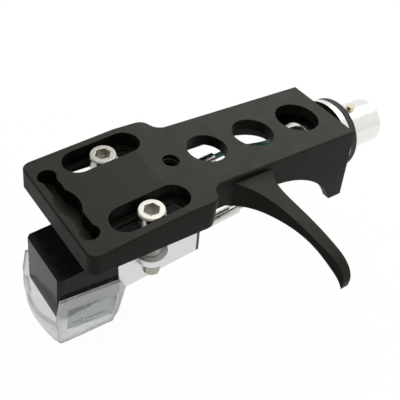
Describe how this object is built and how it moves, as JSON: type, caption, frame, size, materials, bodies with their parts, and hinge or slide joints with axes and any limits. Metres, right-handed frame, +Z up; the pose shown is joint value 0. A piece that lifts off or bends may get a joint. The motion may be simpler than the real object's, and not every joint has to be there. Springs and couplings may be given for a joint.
{
  "type": "turntable headshell with cartridge",
  "caption": "A black cast headshell with a finger lift, a bayonet collar at the back and a magnetic cartridge with a guarded stylus screwed under its slotted front plate.",
  "frame": {"origin": "on the axis of the bayonet collar, at the shoulder behind the shell that the arm's socket meets", "axes": "+Y runs back along the collar towards the arm, +Z is up from the deck, +X is the side of the finger lift"},
  "size_m": [0.0344, 0.0658, 0.0234],
  "materials": {
    "black_casting": "matt, fine texture",
    "nickel": "bright plated",
    "rubber": "matt",
    "brass": "turned",
    "black_plastic": "satin",
    "can_metal": "satin",
    "gloss_black": "polished",
    "alloy": "drawn",
    "diamond": "polished",
    "clear_plastic": "frosted clear moulding",
    "gilt": "plated",
    "tinned": "tin plated",
    "lead_red": "sleeving",
    "lead_green": "sleeving",
    "lead_white": "sleeving",
    "lead_blue": "sleeving"
  },
  "bodies": {
    "root": {"headshell": "black_casting", "bayonet_collar": "nickel", "rubber_washer": "rubber", "locating_pin": "brass", "contact_insulator": "black_plastic", "cartridge_can": "can_metal", "cartridge_body": "black_plastic", "stylus_block": "gloss_black", "cantilever": "alloy", "damper": "rubber", "stylus_tip": "diamond", "stylus_guard": "clear_plastic", "cartridge_screws": "nickel", "contact_red": "gilt", "contact_clip_red": "gilt", "terminal_red": "gilt", "terminal_clip_red": "tinned", "lead_red": "lead_red", "contact_green": "gilt", "contact_clip_green": "gilt", "terminal_green": "gilt", "terminal_clip_green": "tinned", "lead_green": "lead_green", "contact_white": "gilt", "contact_clip_white": "gilt", "terminal_white": "gilt", "terminal_clip_white": "tinned", "lead_white": "lead_white", "contact_blue": "gilt", "contact_clip_blue": "gilt", "terminal_blue": "gilt", "terminal_clip_blue": "tinned", "lead_blue": "lead_blue"}
  },
  "joints": []
}
